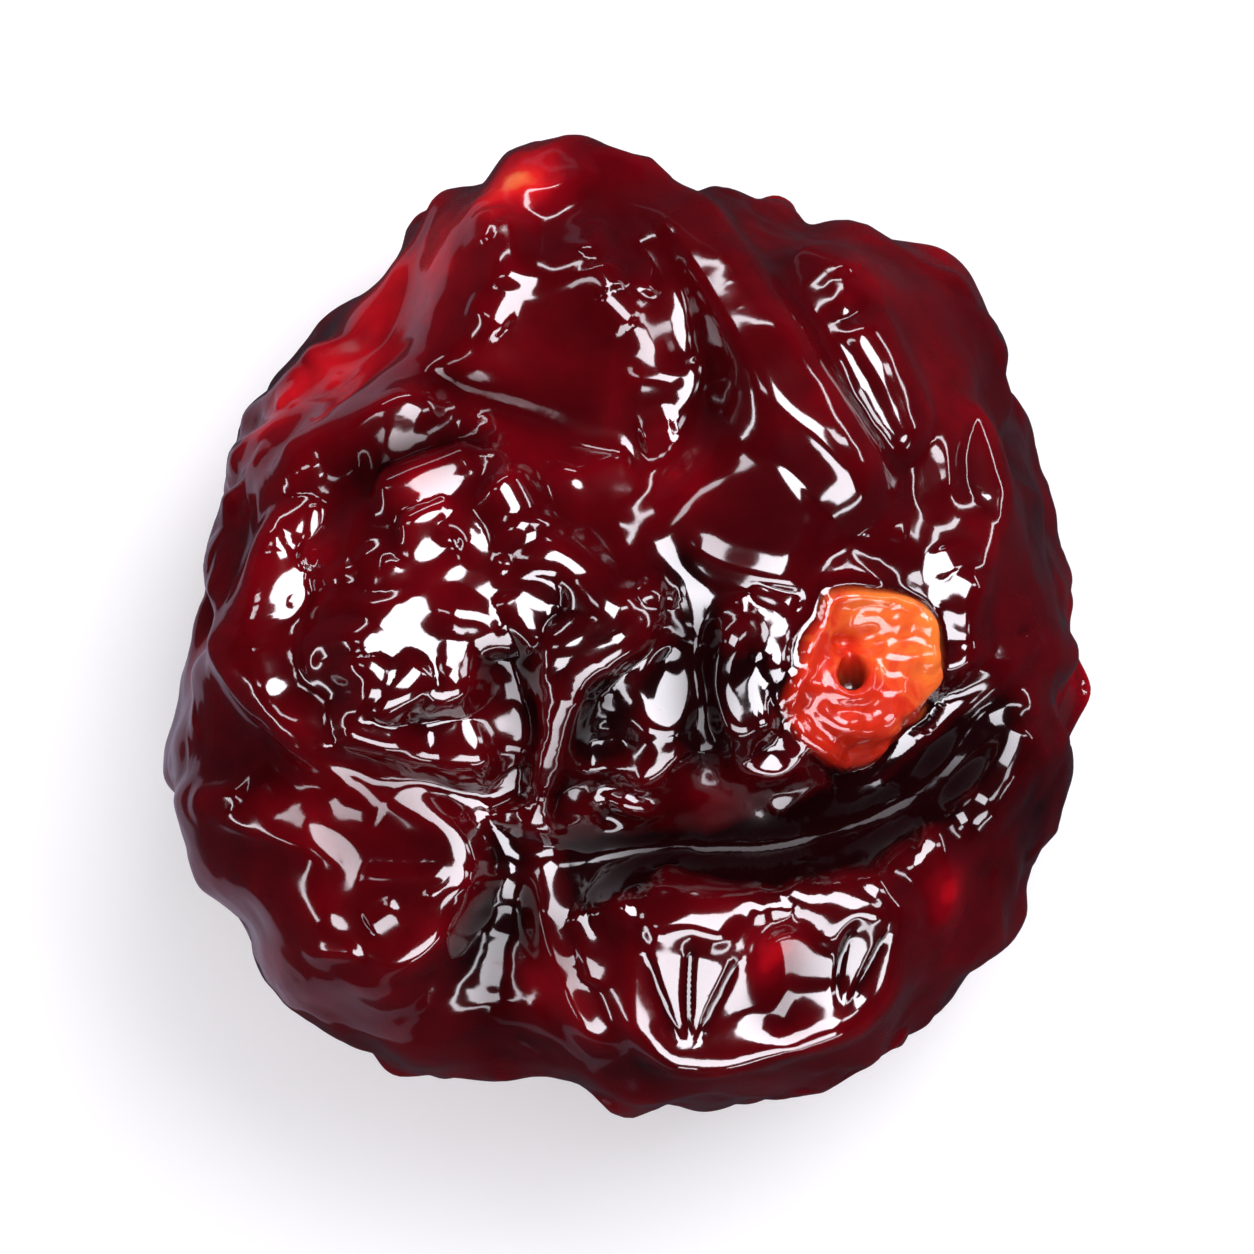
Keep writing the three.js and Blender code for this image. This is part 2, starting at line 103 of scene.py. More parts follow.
def buildStudio():
    aim = Vector((0, 0, studio["aimHeight"]))
    bpy.ops.object.camera_add(location=aim + Vector((0, 0, studio["cameraHeight"])), rotation=(0, 0, 0))
    camera = bpy.context.object
    camera.name = "camera"
    camera.data.sensor_width = studio["sensorWidth"]
    camera.data.lens = studio["sensorWidth"] * studio["cameraHeight"] / (studio["pictureWidthMm"] * mm)
    camera.data.clip_start = studio["nearest"]
    bpy.context.scene.camera = camera

    bpy.ops.mesh.primitive_plane_add(size=studio["tableWidth"])
    table = bpy.context.object
    table.name = "table"
    tablePaint = bpy.data.materials.new("tablePaint")
    tablePaint.use_nodes = True
    shader = tablePaint.node_tree.nodes["Principled BSDF"]
    shader.inputs["Base Color"].default_value = studio["tableColor"]
    shader.inputs["Roughness"].default_value = studio["tableRoughness"]
    shader.inputs["Specular IOR Level"].default_value = 0
    shader.inputs["Emission Color"].default_value = studio["tableColor"]
    shader.inputs["Emission Strength"].default_value = studio["tableGlow"]
    table.data.materials.append(tablePaint)
    nodes, links = tablePaint.node_tree.nodes, tablePaint.node_tree.links
    mirrored = nodes.new("ShaderNodeEmission")
    mirrored.inputs["Color"].default_value = studio["tableMirrored"]
    position = nodes.new("ShaderNodeSeparateXYZ")
    links.new(nodes.new("ShaderNodeTexCoord").outputs["Object"], position.inputs["Vector"])
    inStrip = nodes.new("ShaderNodeMath")
    inStrip.operation = "COMPARE"
    links.new(position.outputs["X"], inStrip.inputs[0])
    inStrip.inputs[1].default_value = studio["stripMiddle"]
    inStrip.inputs[2].default_value = studio["stripHalfWidth"]
    boost = nodes.new("ShaderNodeMapRange")
    boost.inputs["To Min"].default_value, boost.inputs["To Max"].default_value = 1, studio["stripBoost"]
    links.new(inStrip.outputs[0], boost.inputs["Value"])
    links.new(boost.outputs["Result"], mirrored.inputs["Strength"])
    choice = nodes.new("ShaderNodeMixShader")
    links.new(nodes.new("ShaderNodeLightPath").outputs["Is Glossy Ray"], choice.inputs["Fac"])
    links.new(shader.outputs["BSDF"], choice.inputs[1])
    links.new(mirrored.outputs["Emission"], choice.inputs[2])
    links.new(choice.outputs["Shader"], nodes["Material Output"].inputs["Surface"])

    for box in softboxes:
        turn, lift = math.radians(box["bearing"]), math.radians(box["elevation"])
        way = Vector((math.cos(lift) * math.cos(turn), math.cos(lift) * math.sin(turn), math.sin(lift)))
        away = box.get("away", studio["lightsAway"])
        bpy.ops.object.light_add(type="AREA", location=aim + way * away)
        light = bpy.context.object
        light.name = box["name"]
        light.rotation_euler = way.to_track_quat("Z", "Y").to_euler()
        light.data.shape = "RECTANGLE"
        light.data.size, light.data.size_y = box["sides"]
        light.data.color = studio["lightColor"]
        light.data.energy = box["radiance"] * math.pi * math.prod(box["sides"])
        light.visible_camera = False
        light.visible_diffuse = box.get("soft", False)
        light.visible_glossy = not light.visible_diffuse

    world = bpy.data.worlds.new("paleRoom")
    bpy.context.scene.world = world
    world.use_nodes = True
    background = world.node_tree.nodes["Background"]
    background.inputs["Color"].default_value = studio["worldColor"]
    background.inputs["Strength"].default_value = studio["worldStrength"]
    world.cycles_visibility.glossy = False
    bpy.context.scene.view_settings.view_transform = "Standard"
    print("studio built:", len(softboxes), "lights")


# Mesh helpers

def pickOnly(piece):
    bpy.ops.object.select_all(action="DESELECT")
    piece.select_set(True)
    bpy.context.view_layer.objects.active = piece


def cornersOf(piece):
    places = np.empty(len(piece.data.vertices) * 3)
    piece.data.vertices.foreach_get("co", places)
    return places.reshape(-1, 3)


def moveCorners(piece, places):
    piece.data.vertices.foreach_set("co", places.ravel())
    piece.data.update()


def edgesOf(piece):
    edges = np.empty(len(piece.data.edges) * 2, np.int64)
    piece.data.edges.foreach_get("vertices", edges)
    return edges.reshape(-1, 2)


def softened(values, edges, repeats):  # each corner's value, evened out with its neighbours'
    corners = len(values)
    neighbours = np.maximum(1, np.bincount(edges.ravel(), minlength=corners))
    for _ in range(repeats):
        columns = []
        for column in values.reshape(corners, -1).T:
            total = np.bincount(edges[:, 0], column[edges[:, 1]], corners)
            total += np.bincount(edges[:, 1], column[edges[:, 0]], corners)
            columns.append((column + total / neighbours) / 2)
        values = np.array(columns).T.reshape(values.shape)
    return values


def smoothNormals(piece, repeats):
    normals = np.empty(len(piece.data.vertices) * 3)
    piece.data.vertex_normals.foreach_get("vector", normals)
    normals = softened(normals.reshape(-1, 3), edgesOf(piece), repeats)
    return normals / np.linalg.norm(normals, axis=1, keepdims=True)


def subdivideWhere(piece, chosen, cuts):  # chosen says yes or no for each corner; a face needs one yes
    faces = np.empty(len(piece.data.polygons) * 3, np.int64)
    piece.data.polygons.foreach_get("vertices", faces)
    pickOnly(piece)
    bpy.ops.object.mode_set(mode="EDIT")
    bpy.ops.mesh.select_mode(type="FACE")
    bpy.ops.mesh.select_all(action="DESELECT")
    bpy.ops.object.mode_set(mode="OBJECT")
    piece.data.polygons.foreach_set("select", chosen[faces.reshape(-1, 3)].any(axis=1))
    bpy.ops.object.mode_set(mode="EDIT")
    bpy.ops.mesh.subdivide(number_cuts=cuts)
    bpy.ops.mesh.select_all(action="SELECT")
    bpy.ops.mesh.quads_convert_to_tris()
    bpy.ops.object.mode_set(mode="OBJECT")


def applyModifier(piece, kind, **values):
    modifier = piece.modifiers.new(kind.title(), kind)
    for name, value in values.items():
        setattr(modifier, name, value)
    pickOnly(piece)
    bpy.ops.object.modifier_apply(modifier=modifier.name)


def ease(values, low, high):  # 0 below low, 1 above high
    share = np.clip((values - low) / (high - low), 0, 1)
    return share * share * (3 - 2 * share)


# The skin's folds, as seen from above. Crests stand up, clefts go in.

fineFolds = {
    "crestRoundMm": 0.04,  # how round a crest's top is, at least, and how much more for each mm of rise
    "roundPerRise": 1.7,
    "stepMm": 0.12,  # between the points of a fold's route
    "fadeShare": 0.22,  # of a fold's length, at each end
    "endShare": 0.15,  # what is left of its rise at the very end
    "footWidths": 4.5,  # a fold has died away this many widths from its line
    "footStart": 0.5,  # and starts to fade at this share of that
}

# the rim of the left lobe is both a crest and a broad swell
leftRim = [(-4.2, 2.5), (-4.9, 2.1), (-5.45, 1.4), (-5.7, 0.5), (-5.7, -0.5), (-5.4, -1.4), (-4.8, -2.1),
           (-3.7, -2.85), (-2.4, -3.4)]

crests = [
    # the rims on the left
    {"path": [(-7.0, -1.0), (-6.3, 0.9), (-6.0, 2.6), (-5.2, 3.3), (-4.8, 3.5)], "rise": 0.19, "width": 0.19},
    {"path": leftRim, "rise": 0.3, "width": 0.25, "round": 0.5},
    {"path": [(-6.0, -0.9), (-5.5, -1.5), (-5.0, -1.8)], "rise": 0.14, "width": 0.18},
    {"path": [(-5.0, 0.7), (-5.6, -0.1), (-5.6, -0.6)], "rise": 0.12, "width": 0.16},
    # the top of the left lobe, with its dented facet
    {"path": [(-6.0, 2.0), (-4.5, 2.6), (-3.6, 2.95), (-2.6, 3.7)], "rise": 0.3, "width": 0.23},
    {"path": [(-4.1, 2.1), (-2.2, 2.9)], "rise": 0.35, "width": 0.18},
    {"path": [(-3.6, 1.6), (-2.6, 1.9)], "rise": 0.12, "width": 0.15},
    {"path": [(-2.95, 1.3), (-2.65, 1.55), (-2.35, 1.35), (-2.6, 1.1)], "rise": 0.12, "width": 0.15},
    {"path": [(-2.05, 2.4), (-1.75, 2.0), (-1.4, 1.3)], "rise": 0.27, "width": 0.18},
    {"path": [(-4.1, 1.3), (-3.8, 0.8), (-3.5, 1.1)], "rise": 0.12, "width": 0.15},
    {"path": [(-4.8, 2.1), (-4.9, 0.9)], "rise": 0.17, "width": 0.16},
    # the crumpled middle of the left lobe
    {"path": [(-3.3, -0.35), (-4.4, -0.25), (-4.75, -0.6), (-3.85, -0.75), (-4.2, -1.5), (-3.9, -1.75),
              (-2.5, -2.0)], "rise": 0.2, "width": 0.16},
    {"path": [(-2.9, 0.0), (-2.5, 0.15), (-2.1, 0.0), (-1.9, -0.6)], "rise": 0.16, "width": 0.16},
    {"path": [(-3.0, -0.5), (-3.9, -1.5)], "rise": 0.2, "width": 0.17},
    {"path": [(-3.0, -0.7), (-2.6, -0.9), (-2.2, -2.1), (-1.65, -2.7)], "rise": 0.3, "width": 0.23},
    {"path": [(-5.0, 0.35), (-3.3, 0.3)], "rise": 0.1, "width": 0.16},
    # out of the pucker, over the middle
    {"path": [(-1.45, -3.3), (-1.1, -2.3), (-0.75, -1.2), (-0.3, -0.5), (0.8, 0.1)],
     "rise": 0.28, "width": 0.24, "round": 0.45},
    {"path": [(-1.3, -1.4), (-1.0, -0.5), (-0.2, 0.0), (-0.3, 0.4), (-1.0, 0.95), (-1.9, 0.6)],
     "rise": 0.24, "width": 0.2, "round": 0.42},
    {"path": [(-1.9, 0.6), (-1.25, -0.5)], "rise": 0.16, "width": 0.16},
    {"path": [(-1.3, -3.1), (-0.7, -2.8), (-0.3, -3.2), (0.45, -2.95), (0.15, -2.7), (0.9, -2.0),
              (1.2, -2.05), (0.95, -2.3)], "rise": 0.17, "width": 0.16},
    {"path": [(-0.2, -1.7), (0.0, -1.1), (0.35, -0.6), (0.9, -0.3), (1.1, -1.5), (0.3, -1.8)],
     "rise": 0.14, "width": 0.15},
    # the middle, above and left of the scar
    {"path": [(1.0, 1.5), (1.6, 1.0), (3.2, 0.6)], "rise": 0.12, "width": 0.12},
    {"path": [(2.0, 0.65), (2.8, 0.3)], "rise": 0.1, "width": 0.15},
    {"path": [(0.2, 0.6), (0.7, 0.4)], "rise": 0.11, "width": 0.16},
    {"path": [(-0.9, 2.2), (-0.3, 2.5), (0.2, 2.6)], "rise": 0.12, "width": 0.16},
    {"path": [(0.3, 2.9), (0.9, 3.1)], "rise": 0.12, "width": 0.16},
    {"path": [(2.3, 0.1), (1.65, -0.5), (1.8, -1.8), (2.2, -2.4)], "rise": 0.27, "width": 0.18},
    {"path": [(2.2, -0.5), (2.7, -0.75), (3.0, -1.1)], "rise": 0.11, "width": 0.15},
    {"path": [(2.3, -3.0), (3.4, -2.3)], "rise": 0.16, "width": 0.16},
    # right of the scar
    {"path": [(5.1, 1.3), (5.3, 0.8)], "rise": 0.12, "width": 0.16},
    {"path": [(5.7, 1.0), (5.5, 0.3), (5.5, -0.7)], "rise": 0.2, "width": 0.16},
    {"path": [(6.3, 0.1), (6.6, -0.1), (6.0, -0.8), (5.1, -1.5), (4.8, -1.7), (5.0, -1.1)],
     "rise": 0.16, "width": 0.16},
    {"path": [(5.6, 1.7), (5.15, 2.2), (5.2, 3.0), (5.6, 3.3), (5.9, 2.4), (6.3, 1.6)],
     "rise": 0.2, "width": 0.18},
    # the long ridges on the upper right
    {"path": [(-0.4, 7.1), (0.8, 6.2), (1.4, 5.6), (2.1, 4.4), (2.6, 3.5), (3.3, 2.8), (4.0, 1.7),
              (4.4, 1.3)], "rise": 0.44, "width": 0.3, "round": 0.5, "crimped": True},
    {"path": [(2.8, 6.0), (3.7, 5.55)], "rise": 0.16, "width": 0.16},
    {"path": [(3.6, 5.0), (4.0, 4.2), (4.7, 2.6)], "rise": 0.32, "width": 0.24, "round": 0.45,
     "crimped": True},
    {"path": [(1.9, 4.0), (2.7, 2.3), (3.8, 1.2)], "rise": 0.12, "width": 0.19},
    # the flat flank on the upper left, and the upper edge
    {"path": [(-5.3, 4.2), (-5.1, 3.9), (-5.5, 3.4)], "rise": 0.11, "width": 0.15},
    {"path": [(-5.0, 4.5), (-4.5, 3.8)], "rise": 0.11, "width": 0.16},
    {"path": [(-1.9, 7.25), (-1.2, 6.9), (-0.3, 7.3)], "rise": 0.16, "width": 0.16},
    {"path": [(-2.0, 6.7), (-2.1, 6.0)], "rise": 0.12, "width": 0.16},
    {"path": [(-1.8, 6.6), (-1.7, 5.3)], "rise": 0.16, "width": 0.16},
    {"path": [(-2.4, 5.2), (-1.8, 4.7)], "rise": 0.12, "width": 0.16},
    {"path": [(-0.3, 5.8), (-0.1, 5.3)], "rise": 0.12, "width": 0.16},
    {"path": [(-0.35, 5.3), (0.2, 4.75)], "rise": 0.1, "width": 0.14},
    {"path": [(0.5, 6.0), (0.4, 5.2)], "rise": 0.12, "width": 0.16},
    # the lower right lobe: the brinks of its two crumpled blocks
    {"path": [(0.3, -5.0), (1.0, -4.75), (1.9, -5.0)], "rise": 0.14, "width": 0.14},
    {"path": [(0.4, -6.3), (1.1, -7.0), (2.8, -6.6), (4.2, -6.0)], "rise": 0.24, "width": 0.19},
    {"path": [(3.1, -5.2), (3.7, -4.55), (4.4, -4.65)], "rise": 0.14, "width": 0.14},
    {"path": [(4.5, -3.4), (4.9, -3.3), (5.2, -4.2), (4.9, -5.0)], "rise": 0.17, "width": 0.18},
    {"path": [(6.5, -1.3), (6.1, -2.2), (5.5, -3.2)], "rise": 0.3, "width": 0.21},
    # under the pucker
    {"path": [(-1.4, -4.0), (-1.0, -5.2), (-0.5, -6.3), (0.0, -6.8)], "rise": 0.2, "width": 0.15},
    {"path": [(-0.9, -4.5), (-0.6, -4.8), (-0.4, -5.8)], "rise": 0.16, "width": 0.15},
    {"path": [(-0.6, -4.7), (0.3, -4.4)], "rise": 0.16, "width": 0.15},
    # the lower left lobe
    {"path": [(-6.9, -2.75), (-6.0, -2.6)], "rise": 0.12, "width": 0.16},
    {"path": [(-6.8, -2.9), (-5.8, -3.25), (-4.7, -3.6), (-4.2, -4.1)], "rise": 0.11, "width": 0.13},
    {"path": [(-3.5, -4.4), (-4.0, -4.75)], "rise": 0.08, "width": 0.12},
    {"path": [(-3.2, -4.4), (-2.2, -4.0)], "rise": 0.08, "width": 0.12},
    {"path": [(-5.1, -5.2), (-4.1, -5.2)], "rise": 0.08, "width": 0.12},
]

clefts = [
    {"path": [(-4.8, 2.2), (-3.4, 2.75), (-1.9, 3.2)], "rise": -0.3, "width": 0.3},
    {"path": [(-1.7, -3.9), (-1.9, -5.4), (-2.2, -7.2)], "rise": -0.2, "width": 0.4},
    {"path": [(-2.1, -3.7), (-3.9, -3.0), (-5.4, -2.4), (-7.0, -2.2)], "rise": -0.2, "width": 0.35},
    {"path": [(-1.1, -3.3), (-0.6, -1.7), (0.0, -0.7)], "rise": -0.25, "width": 0.3},
    {"path": [(1.35, 0.6), (1.35, -1.4), (1.7, -2.9)], "rise": -0.25, "width": 0.3},
    {"path": [(-1.7, -3.0), (-1.5, -1.6), (-2.2, -0.2)], "rise": -0.2, "width": 0.3},
    {"path": [(2.5, -4.7), (2.7, -5.6), (2.5, -6.6)], "rise": -0.2, "width": 0.25},
    # the stripes of the two blocks
    {"path": [(0.35, -5.1), (0.65, -5.9), (1.0, -6.7)], "rise": -0.1, "width": 0.07, "round": 0.03},
    {"path": [(1.15, -4.9), (1.1, -5.8), (1.1, -6.7)], "rise": -0.1, "width": 0.07, "round": 0.03},
    {"path": [(1.95, -5.2), (1.6, -5.9), (1.2, -6.7)], "rise": -0.1, "width": 0.07, "round": 0.03},
    {"path": [(3.75, -4.7), (3.5, -5.4), (3.45, -6.1)], "rise": -0.1, "width": 0.07, "round": 0.03},
    {"path": [(4.3, -4.8), (3.95, -5.5), (3.6, -6.1)], "rise": -0.1, "width": 0.07, "round": 0.03},
]


# Broad swells that carry the folds. Each is lifted or sunk by so much at its middle line, or brought
# to the heights given as tops, in mm.

swells = [
    {"path": leftRim, "tops": (9.2, 9.0, 8.9, 9.1, 9.5, 9.6, 9.5, 9.3, 9.2), "width": 0.8},
    {"path": [(-1.6, -3.9), (-1.45, -3.3), (-1.1, -2.3), (-0.75, -1.2), (-0.3, -0.5)],
     "tops": (9.1, 9.75, 10.35, 10.85, 11.1), "width": 0.65},  # a fold out of the pucker
    {"path": [(-1.3, -3.75), (0.8, -3.65), (2.4, -3.6), (3.6, -3.3), (5.0, -2.6), (6.5, -1.2)], "lift": -0.8,
     "width": 0.58},  # the main cleft
    {"path": [(-3.4, 4.0), (-1.8, 3.65), (-0.2, 3.3)], "lift": -0.3, "width": 0.32},
]


# Facets of the skin that lie nearly flat between the folds. Each tilts towards a bearing, in degrees.

facets = [
    {"place": (-3.4, -0.6), "reach": 1.0, "tilt": 7, "towards": 60},  # the crumpled middle of the left lobe
    {"place": (-2.5, -1.7), "reach": 0.8, "tilt": 8, "towards": 70},
    {"place": (-1.2, 0.35), "reach": 0.4, "tilt": 6, "towards": 40},
    {"place": (0.6, -1.1), "reach": 0.75, "tilt": 8, "towards": 80},  # the middle
    {"place": (0.1, -2.7), "reach": 0.5, "tilt": 8, "towards": 70},
    {"place": (2.15, -1.1), "reach": 0.6, "tilt": 6, "towards": 50},  # left of the scar
    {"place": (2.35, -2.2), "reach": 0.4, "tilt": 9, "towards": 60},
    {"place": (-3.0, 1.4), "reach": 0.45, "tilt": 6, "towards": 60},
    {"place": (-4.8, 1.6), "reach": 0.4, "tilt": 10, "towards": 60},
    {"place": (1.3, -5.75), "reach": 1.35, "tilt": 26, "towards": 278},  # the two crumpled blocks
    {"place": (3.75, -5.3), "reach": 1.1, "tilt": 26, "towards": 280},
    {"place": (-4.2, 4.5), "reach": 1.6, "tilt": 40, "towards": 135},  # the flank on the upper left
    {"place": (-0.7, 4.35), "reach": 1.55, "tilt": 16, "towards": 208},  # the hollow above the middle
    {"place": (0.2, 3.5), "reach": 0.9, "tilt": 14, "towards": 200},
    {"place": (1.9, 1.5), "reach": 1.25, "tilt": 18, "towards": 212},
    {"place": (-1.5, -1.6), "reach": 0.5, "tilt": 18, "towards": 205},  # beside the folds out of the pucker
    {"place": (-0.2, -2.0), "reach": 0.4, "tilt": 18, "towards": 205},
    {"place": (-3.4, -3.7), "reach": 1.15, "tilt": 22, "towards": 203},  # the lower left lobe
    {"place": (-3.6, -4.8), "reach": 0.8, "tilt": 24, "towards": 208},
    {"place": (-5.1, 0.5), "reach": 0.6, "tilt": 16, "towards": 165},  # inside the rim of the left lobe
]


# How much of the small wrinkles is taken away, as a share

calming = {
    "inCalmPlaces": 0.8,
    "inFacets": 0.9,
    "onTop": 0.6,
    "topMm": (5.5, 8.5),  # the top starts at the first of these heights and is all there at the second
    "onCrests": 0.85,
    "onOutline": 0.75,  # the outline from above is calm
    "outlineMm": 4.6,  # its height, and how far above and below it the calm reaches
    "outlineReachMm": 1.4,
}


# Places where the skin is smooth, with fewer wrinkles

calmPlaces = [
    {"place": (-4.6, 4.6), "reach": 3.0},
    {"place": (-0.8, 3.6), "reach": 1.8},
    {"place": (4.8, 4.4), "reach": 1.6},
    {"place": (-7.2, 0.0), "reach": 2.2},  # the left edge
    {"place": (-3.8, -3.9), "reach": 1.7},
    {"place": (-6.0, -4.5), "reach": 2.2},
    {"place": (-3.0, -7.0), "reach": 1.6},
]


def facetShares(places, tree):  # each facet with its middle, and how far each place belongs to it
    for facet in facets:
        middle = layOnSkin(tree, np.array([facet["place"]]))[0]
        away = np.linalg.norm(places - middle, axis=1)
        yield facet, middle, np.exp(-((away / facet["reach"]) ** 4))


def swellParts(places, tree, swell):  # the lift of its middle line, and the share of it that each place gets
    route = layOnSkin(tree, smoothRoute(swell["path"], fineFolds["stepMm"]))
    gaps, along = nearRoute(places, route)
    fade = ease(np.minimum(along, 1 - along), 0, fineFolds["fadeShare"])
    lift = swell.get("lift", 0)
    if "tops" in swell:
        lift = np.interp(along, np.linspace(0, 1, len(swell["tops"])), swell["tops"])
        lift -= np.interp(along, np.linspace(0, 1, len(route)), route[:, 2])
    return lift, fade * np.exp(-((gaps / swell["width"]) ** 2))


def sunkShare(places, tree):  # how far down in a sunk swell each place is
    return sum(swellParts(places, tree, swell)[1] for swell in swells if swell.get("lift", 0) < 0)


def shaped(places, tree):  # lifts the swells and pulls each facet of the upper side towards its own plane
    swollen = places.copy()
    for swell in swells:
        lift, share = swellParts(places, tree, swell)
        swollen[:, 2] += lift * share
    places = swollen
    for facet, middle, share in facetShares(places, tree):
        tilt, turn = math.radians(facet["tilt"]), math.radians(facet["towards"])
        offset = places - middle
        plane = -math.tan(tilt) * (offset[:, 0] * math.cos(turn) + offset[:, 1] * math.sin(turn))
        places[:, 2] += (plane - offset[:, 2]) * share
    return places


def wrinkledShare(places, tree):  # how much of their small wrinkles the places keep
    share = np.ones(len(places))
    for calm in calmPlaces:
        middle = layOnSkin(tree, np.array([calm["place"]]))[0]
        away = np.linalg.norm(places - middle, axis=1)
        share *= 1 - calming["inCalmPlaces"] * np.exp(-((away / calm["reach"]) ** 2))
    for _, _, inFacet in facetShares(places, tree):
        share *= 1 - calming["inFacets"] * inFacet
    return share * (1 - calming["onTop"] * ease(places[:, 2], *calming["topMm"]))


def smoothRoute(path, step):  # points along a smooth curve through the path's points
    points = np.array(path, float)
    points = np.vstack([2 * points[0] - points[1], points, 2 * points[-1] - points[-2]])
    route = []
    for a, b, c, d in zip(points, points[1:], points[2:], points[3:]):
        for share in np.arange(0, 1, min(1, step / np.linalg.norm(c - b))):
            bend = (2 * a - 5 * b + 4 * c - d) * share**2 + (3 * b - a - 3 * c + d) * share**3
            route.append((2 * b + (c - a) * share + bend) / 2)
    return np.array(route + [points[-2]])


def layOnSkin(tree, route):  # drops a route seen from above onto the skin
    top = cadBounds[1].z + mm
    laid = []
    for x, y in route * mm:
        hit = tree.ray_cast(Vector((x, y, top)), Vector((0, 0, -1)))[0]
        laid.append(hit or tree.find_nearest(Vector((x, y, studio["aimHeight"])))[0])
    return np.array(laid) / mm


def nearRoute(places, route):  # each place's distance from a route, and how far along it that is
    gaps = np.full(len(places), np.inf)
    along = np.zeros(len(places))
    for i, (start, end) in enumerate(zip(route, route[1:])):
        span = end - start
        share = np.clip((places - start) @ span / max(span @ span, tiny), 0, 1)
        gap = np.linalg.norm(places - start - share[:, None] * span, axis=1)
        nearer = gap < gaps
        gaps[nearer] = gap[nearer]
        along[nearer] = (i + share[nearer]) / (len(route) - 1)
    return gaps, along


def foldHeights(places, folds):  # the highest crest and the deepest cleft at each place
    highest = np.zeros(len(places))
    deepest = np.zeros(len(places))
    for fold in folds:
        route, width = fold["route"], fold["width"]
        usual = fineFolds["crestRoundMm"] + fineFolds["roundPerRise"] * abs(fold["rise"])
        roundness = fold.get("round", usual)
        foot = fineFolds["footWidths"] * width
        reach = foot + roundness
        near = ((places > route.min(axis=0) - reach) & (places < route.max(axis=0) + reach)).all(axis=1)
        near = np.flatnonzero(near)
        gaps, along = nearRoute(places[near], route)
        fade = ease(np.minimum(along, 1 - along), 0, fineFolds["fadeShare"])
        fade = fineFolds["endShare"] + (1 - fineFolds["endShare"]) * fade
        rounded = np.hypot(gaps, roundness) - roundness
        heights = fold["rise"] * fade * np.exp(-rounded / width)
        heights *= 1 - ease(gaps, fineFolds["footStart"] * foot, foot)
        highest[near] = np.maximum(highest[near], heights)
        deepest[near] = np.minimum(deepest[near], heights)
    return highest, deepest


# The skin sags into shallow bowls between its folds, in ever smaller sizes

bowls = [
    {"acrossMm": 2.1, "depthMm": 0.17, "swayMm": 0.55, "roundMm": 0.03, "seed": 11},
    {"acrossMm": 1.0, "depthMm": 0.04, "swayMm": 0.3, "roundMm": 0.01, "seed": 23},
    {"acrossMm": 0.5, "depthMm": 0.012, "swayMm": 0.15, "roundMm": 0.002, "seed": 37},
]
bowlLayout = {
    "spacing": 0.6,  # least distance between middles, as a share of the width
    "levels": 0.6,  # how unevenly high they lie, as a share of the depth
    "upright": 0.55,  # height counts this much, so that bowls are taller than wide on the flanks
    "swayWaves": 7,
    "swayAcross": 3,  # the sway wanders over this many bowls
    "swayPace": (0.8, 2.2),
}


def sway(places, across, seed):  # an even, wandering sideways shift
    draw = np.random.default_rng(seed)
    shift = np.zeros_like(places)
    for _ in range(bowlLayout["swayWaves"]):
        way = draw.normal(size=3)
        pace = 2 * math.pi / (across * draw.uniform(*bowlLayout["swayPace"]) * np.linalg.norm(way))
        shift += np.sin(places @ way * pace + draw.uniform(0, 2 * math.pi))[:, None] * draw.normal(size=3)
    return shift / math.sqrt(bowlLayout["swayWaves"])


def bowlHeights(places, bowl):
    wander = sway(places, bowlLayout["swayAcross"] * bowl["acrossMm"], bowl["seed"])
    stretched = places + wander * bowl["swayMm"]
    stretched = stretched * (1, 1, bowlLayout["upright"])
    draw = np.random.default_rng(bowl["seed"])
    waiting = draw.permutation(len(places))
    steepness = bowl["depthMm"] / (bowl["acrossMm"] / 2) ** 2
    lowest = np.full(len(places), np.inf)
    second = np.full(len(places), np.inf)
    while len(waiting):
        middle = stretched[waiting[0]]
        gaps = np.linalg.norm(stretched[waiting] - middle, axis=1)
        waiting = waiting[gaps > bowlLayout["spacing"] * bowl["acrossMm"]]
        level = draw.uniform(0, bowlLayout["levels"]) * bowl["depthMm"]
        here = level + steepness * ((stretched - middle) ** 2).sum(axis=1)
        second = np.minimum(second, np.maximum(here, lowest))
        lowest = np.minimum(lowest, here)
    overlap = np.maximum(0, bowl["roundMm"] - (second - lowest))
    return lowest - overlap**2 / (4 * bowl["roundMm"]) - bowl["depthMm"] / 2


# Crimps: short wrinkles across the long ridges

crimps = {
    "everyMm": 0.5,
    "lengthMm": (0.5, 1.0),
    "rise": (0.08, 0.17),
    "widthMm": 0.13,
    "turn": (35, 75),  # degrees from the ridge's way
    "sides": (-1, 1, 1),  # twice as often to its left as to its right
    "seed": 21,
}


def drawCrimps():
    draw = np.random.default_rng(crimps["seed"])
    drawn = []
    for ridge in crests:
        if not ridge.get("crimped"):
            continue
        route = smoothRoute(ridge["path"], fineFolds["stepMm"])
        every = round(crimps["everyMm"] / fineFolds["stepMm"])
        for start, end in zip(route[every::every], route[every + 1::every]):
            way = (end - start) / np.linalg.norm(end - start)
            turn = math.radians(draw.uniform(*crimps["turn"]) * draw.choice(crimps["sides"]))
            way = np.array([way[0] * math.cos(turn) - way[1] * math.sin(turn),
                            way[0] * math.sin(turn) + way[1] * math.cos(turn)])
            half = way * draw.uniform(*crimps["lengthMm"]) / 2
            drawn.append({"path": [start - half, start + half], "rise": draw.uniform(*crimps["rise"]),
                          "width": crimps["widthMm"]})
    return drawn


# Small, short wrinkles all over the upper side

smallWrinkles = {
    "count": 32,
    "seed": 17,
    "within": 6.6,  # mm from the middle, as seen from above
    "lengthMm": (0.5, 1.9),
    "rise": (0.05, 0.12),
    "width": (0.1, 0.16),
    "bendMm": 0.25,
}


